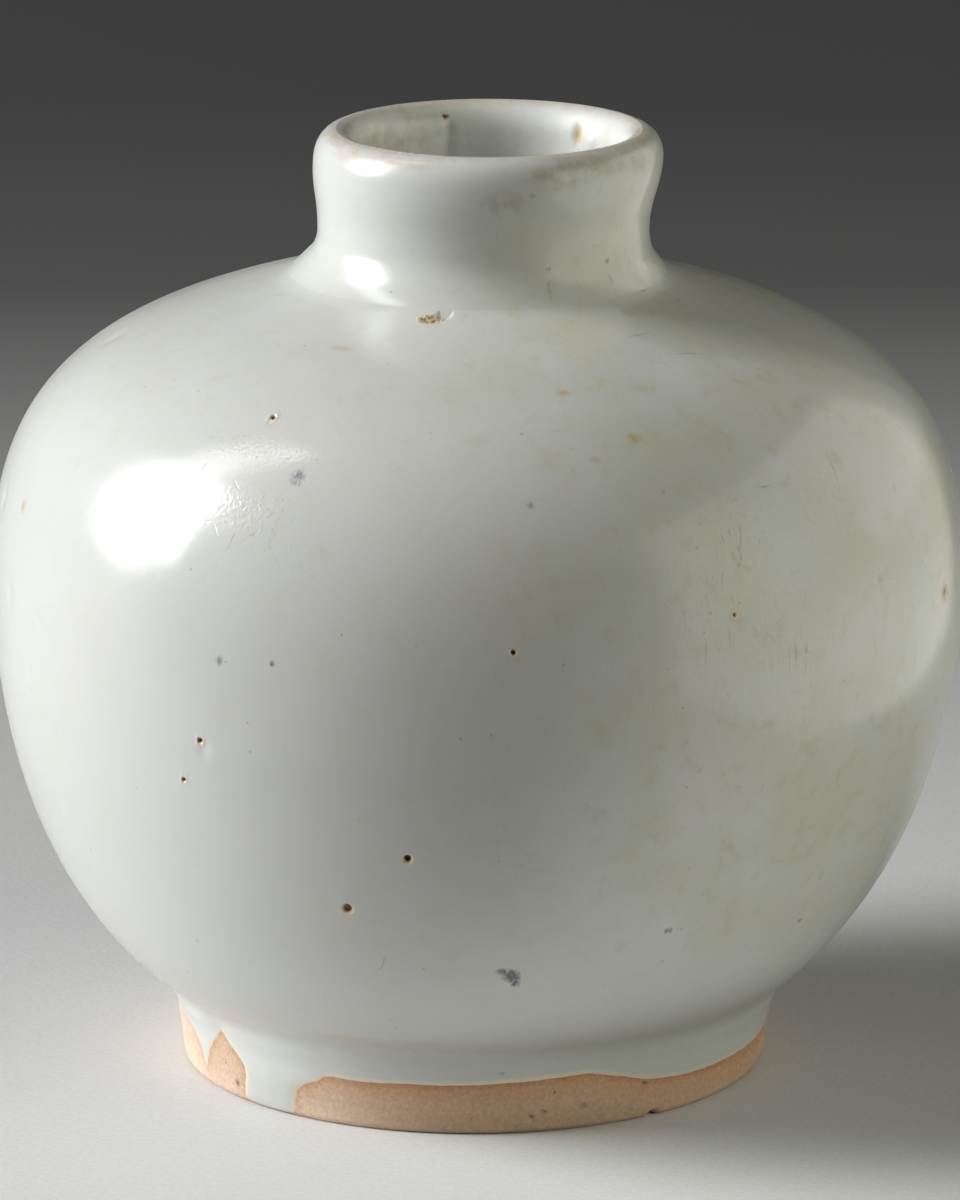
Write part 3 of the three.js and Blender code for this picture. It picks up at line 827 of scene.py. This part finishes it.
# painted shade: a darker glaze tone low on the foot, heavier on the right, in the crease above the foot and
# on the run; it also stands for the glaze pooling there
layers["poolAndShade"] = (0.28 + 0.42 * within(angle, -45, -5, 120, 165)) * (1 - smooth(height, 8.5, 18))
layers["poolAndShade"] += 0.4 * bell(height, 9.4, 2.2) * within(angle, -40, 45, 120, 165)
layers["poolAndShade"] += 0.3 * within(angle, -55, -48, -38, -32) * (1 - smooth(height, 2, 6))
writePoints(outerCoat, angle, radius, height, axisSway(height))
seal(outerCoat, layers, glaze, "outer_glaze")


# Inner glaze coat: from the crest of the lip down the bore and over the floor

lining = {
    "columns": 240, "lipGap": 0.4, "hiddenGap": 3.0, "seenFrom": 84.0,
    "dotAngle": 199.0, "dotHeight": 96.2, "creaseDepth": 0.22,
    "bareAngle": 137.0, "bareHeight": 95.0, "bareDepth": 0.3, "lumpHeight": 94.4, "lumpRise": 0.3,
}


def liningGap(height):
    return np.where(height > lining["seenFrom"], lining["lipGap"], lining["hiddenGap"])


faceLine = respaced(insideLine, liningGap)
backLine = respaced(sunk(insideLine, form["glaze"])[::-1], evenly(lining["hiddenGap"]))
backLine[0] = (0, floorHeight - form["glaze"])
backLine[-1] = (crestRadius, form["height"] - form["glaze"])
faceLine[-1] = (0, floorHeight)
innerCoat = throwPiece("glaze_coat_inside", np.vstack([faceLine, backLine, faceLine[:1]]), lining["columns"])
angle, radius, height = polar(readPoints(innerCoat))
angle = angle % 360
mouthLine = insideLine[:200][::-1]
onFace = radius < np.interp(height, mouthLine[:, 1], mouthLine[:, 0]) + 0.2
dot = bell(angle, lining["dotAngle"], 1.5) * bell(height, lining["dotHeight"], 0.32)
crease = bell(angle, lining["dotAngle"] - 1.5, 3.0) * within(height, 89, 92, 95.4, 96.6)
chip = bell(angle, lining["bareAngle"], 1.9) * bell(height, lining["bareHeight"], 1.1)
lump = bell(angle, lining["bareAngle"] - 9, 3.5) * bell(height, lining["lumpHeight"], 0.9)
pressed = lining["creaseDepth"] * crease + lining["bareDepth"] * chip - lining["lumpRise"] * lump
radius = np.where(onFace & (height > lining["seenFrom"]), radius + pressed, radius)
# painted shade: the left of the bore is darkened with grime and olive-cast weight, and the seen bore as a
# whole with olive-cast weight; grime also darkens the glaze along the crease
leftShade = 0.3 * within(angle, 180, 215, 285, 320) * (1 - smooth(height, 96.2, 97.0))
layers = {
    "iron": dot, "rust": dot, "ochre": chip * 1.2, "grimeAndShade": np.maximum(0.4 * crease, leftShade),
    "dull": within(angle, 85, 110, 150, 175) * smooth(height, 88, 92),
    "castAndShade": (0.5 + 0.5 * within(angle, 175, 200, 300, 345)) * smooth(height, 84, 96),
    "thin": 0.6 * smooth(height, 96.7, 97.5) * (0.7 + 0.3 * wobble(angle, height, 3.0, 2)),
}
writePoints(innerCoat, angle, radius, height, axisSway(height))
seal(innerCoat, layers, glaze, "inner_glaze")


# Foot ring: bare turned clay with a rounded edge, a chip and a few dark grains

ring = {
    "columns": 400, "wallGap": 0.25, "boreRound": 0.6, "turningDepth": 0.014, "turningRate": 5.1,
    "chipAngle": 37.3, "chipWidth": 1.2, "chipDepth": 0.36, "chipRise": 0.35,
}
grains = [  # angle, height, radius
    (-52.8, 1.8, 0.28), (21.5, 2.6, 0.24), (11.0, 1.9, 0.2), (13.5, 2.3, 0.16), (34.5, 4.0, 0.2),
    (-142, 2.4, 0.25), (98, 2.0, 0.22),
]

wall = np.linspace(form["footRound"], footTop, int((footTop - form["footRound"]) / ring["wallGap"]))
standInside = form["footBore"] + ring["boreRound"]
standOutside = form["footRadius"] - form["footRound"]
ringOutline = joined(
    quarterTurn((standInside, ring["boreRound"]), ring["boreRound"], ring["boreRound"], 180, 270, 5),
    np.linspace((standInside, 0.0), (standOutside, 0.0), 7),
    quarterTurn((standOutside, form["footRound"]), form["footRound"], form["footRound"], -90, 0, 9),
    np.stack([footClay(wall), wall], axis=1),
    np.linspace((form["footTopRadius"], footTop), (form["footBore"], footTop), 5),
    np.linspace((form["footBore"], footTop), (form["footBore"], ring["boreRound"]), 8),
)
footClayRing = throwPiece("bare_foot_ring", ringOutline, ring["columns"])
crowdColumns(footClayRing)
angle, radius, height = polar(readPoints(footClayRing))
outer = radius > form["footRadius"] - 1.2
reach = -glazeReach(angle, height)[0]
lines = np.sin(height * ring["turningRate"] + 0.6 * np.sin(np.radians(angle) * 2))
turning = ring["turningDepth"] * lines * within(height, 0.8, 1.4, 7.0, 7.9)
chipped = np.exp(-((turnFrom(angle, ring["chipAngle"]) / ring["chipWidth"]) ** 4))
chipped *= 1 - smooth(height, 0.0, 1.1)
chipped *= smooth(radius, form["footRadius"] - 1.6, form["footRadius"] - 0.6)
radius = np.where(outer, radius + turning - ring["chipDepth"] * chipped, radius)
height = height + ring["chipRise"] * chipped * outer
speck = np.zeros(len(angle))
for middle, level, size in grains:
    around = np.radians(turnFrom(angle, middle)) * form["footRadius"]
    speck = np.maximum(speck, bell(around, 0, size) * bell(height, level, size))
flushed = 1 - 0.6 * within(angle, 40, 75, 120, 150)  # the far right is warm down to the edge
# painted light: the clay is paler on the lit left side; paler along its lower edge at the front left in its
# own colour
pale = 0.5 * smooth(-angle, 8, 40) + 0.4 * smooth(-angle, 58, 74)
pale += 0.25 * smooth(-angle, 5, 30) * (1 - smooth(height, 0.8, 2.8))
pale *= 1 - smooth(-angle, 110, 165)
layers = {
    "reach": np.where(outer, reach * flushed, 4.0), "pale": np.where(outer, np.minimum(pale, 0.95), 0.3),
    "speck": np.where(outer, speck, 0),
}
writePoints(footClayRing, angle, radius, height, axisSway(height))
seal(footClayRing, layers, bareClay, "foot_ring")


# Stage and light: pale paper that falls off to grey behind, its tone a painted pool of light round the vase,
# a soft light at the left, a weak one right

stageLook = {"size": 8.0, "fibreSize": 0.6, "fibreRelief": 0.03, "roughness": 0.9}
paperLightPool = [  # metres from the front to the back, tone of the paper there: a painted pool of light, pale round the vase and darker in front and behind
    (-0.5, "#3c3c3c"), (-0.2, "#505050"), (-0.11, "#787878"), (-0.055, "#e4e4e4"), (-0.025, "#dddddd"),
    (0.005, "#d1d1d1"), (0.045, "#d0d0d0"), (0.1, "#c8c8c8"), (0.3, "#818181"), (0.38, "#5d5d5d"),
    (0.53, "#4f4f4f"),
]

bpy.ops.object.select_all(action="DESELECT")
bpy.ops.mesh.primitive_plane_add(size=stageLook["size"], location=(0, 0, 0))
floor = bpy.context.object
floor.name = "floor"
paper, tree = newMaterial("paper_floor")
place = addNode(tree, "TexCoord", output="Object")
depth = addNode(tree, "SeparateXYZ", {0: place}, "Y")
near, far = paperLightPool[0][0], paperLightPool[-1][0]
share = addNode(tree, "MapRange", {"Value": depth, "From Min": near, "From Max": far})
ramp = addNode(tree, "ValToRGB", {"Fac": share})
stops = ramp.node.color_ramp.elements
while len(stops) < len(paperLightPool):
    stops.new(1.0)
for stop, (distance, tone) in zip(stops, paperLightPool):
    stop.position = (distance - near) / (far - near)
    stop.color = hexColour(tone)
fibre = addNode(tree, "TexNoise", {"Vector": place, "Scale": perSize(stageLook["fibreSize"]), "Detail": 4.0})
flecks = {"Value": fibre, "From Min": 0.3, "From Max": 0.7, "To Min": 0.955, "To Max": 1.045}
flecks = addNode(tree, "MapRange", flecks)
colour = addNode(tree, "VectorMath", {0: ramp, "Scale": flecks}, operation="SCALE")
relief = addNode(tree, "Math", {0: fibre, 1: stageLook["fibreRelief"] * mm}, operation="MULTIPLY")
bump = addNode(tree, "Bump", {"Height": relief, "Distance": 1.0, "Strength": 1.0})
shader = addNode(tree, "BsdfPrincipled", {
    "Base Color": colour, "Roughness": stageLook["roughness"], "Specular IOR Level": 0.0, "Normal": bump,
})
addNode(tree, "OutputMaterial", {"Surface": shader})
floor.data.materials.append(paper)

lamps = {  # place, aim, metres across and up, watts, colour, outline, shows in reflections, lights the rest
    "windowPane": (
        (-2.0, -0.035, 1.1), (0, -0.035, 1.1), (0.94, 1.45), 42.4, "#ffffff", "RECTANGLE", True, True,
    ),
    "windowGlow": ((-2.01, 0.04, 1.1), (0, 0.04, 1.1), (1.25, 1.94), 41.8, "#ffffff", "ELLIPSE", True, True),
    "windowTop": ((-2.0, 0.21, 3.2), (0, 0.21, 3.2), (0.61, 2.4), 29.0, "#ffffff", "RECTANGLE", True, False),
    "card": (
        (0.142, -0.015, 0.092), (0, -0.015, 0.092), (0.305, 0.182),
        0.168, "#faf9ec", "RECTANGLE", True, False,
    ),
    "wall": ((1.2, 1.0, 0.9), (0, 0, 0.06), (1.6, 1.6), 2.6, "#ffffff", "RECTANGLE", True, False),
    "fill": ((1.02, -0.475, 0.44), (0, 0, 0.06), (0.82, 0.85), 6.4, "#faf9ec", "RECTANGLE", False, True),
}
for name, (place, aim, size, watts, tone, outline, mirrored, lighting) in lamps.items():
    bpy.ops.object.light_add(type="AREA", location=place)
    lamp = bpy.context.object
    lamp.name = name
    lamp.rotation_euler = (Vector(aim) - Vector(place)).to_track_quat("-Z", "Y").to_euler()
    lamp.data.shape = outline
    lamp.data.size, lamp.data.size_y = size
    lamp.data.energy = watts
    lamp.data.color = hexColour(tone)[:3]
    lamp.visible_camera = False
    lamp.visible_glossy = mirrored
    lamp.visible_diffuse = lighting

# the air behind is a plain grey to the eye and in reflections, and gives almost no light
air = {"seen": "#3a3a3a", "ambient": 0.01}
world = bpy.data.worlds.new("studio")
bpy.context.scene.world = world
world.use_nodes = True
tree = world.node_tree
tree.nodes.clear()
rays = addNode(tree, "LightPath").node.outputs
shown = rays["Is Camera Ray"]
for kind in ("Is Glossy Ray", "Is Transmission Ray"):
    shown = addNode(tree, "Math", {0: shown, 1: rays[kind]}, operation="MAXIMUM")
backdrop = addNode(tree, "Background", {"Color": hexColour(air["seen"]), "Strength": 1.0})
ambient = addNode(tree, "Background", {"Color": (1, 1, 1, 1), "Strength": air["ambient"]})
both = addNode(tree, "MixShader", {0: shown, 1: ambient, 2: backdrop})
addNode(tree, "OutputWorld", {"Surface": both})
bpy.context.scene.view_settings.view_transform = "Standard"
print("stage and light placed")
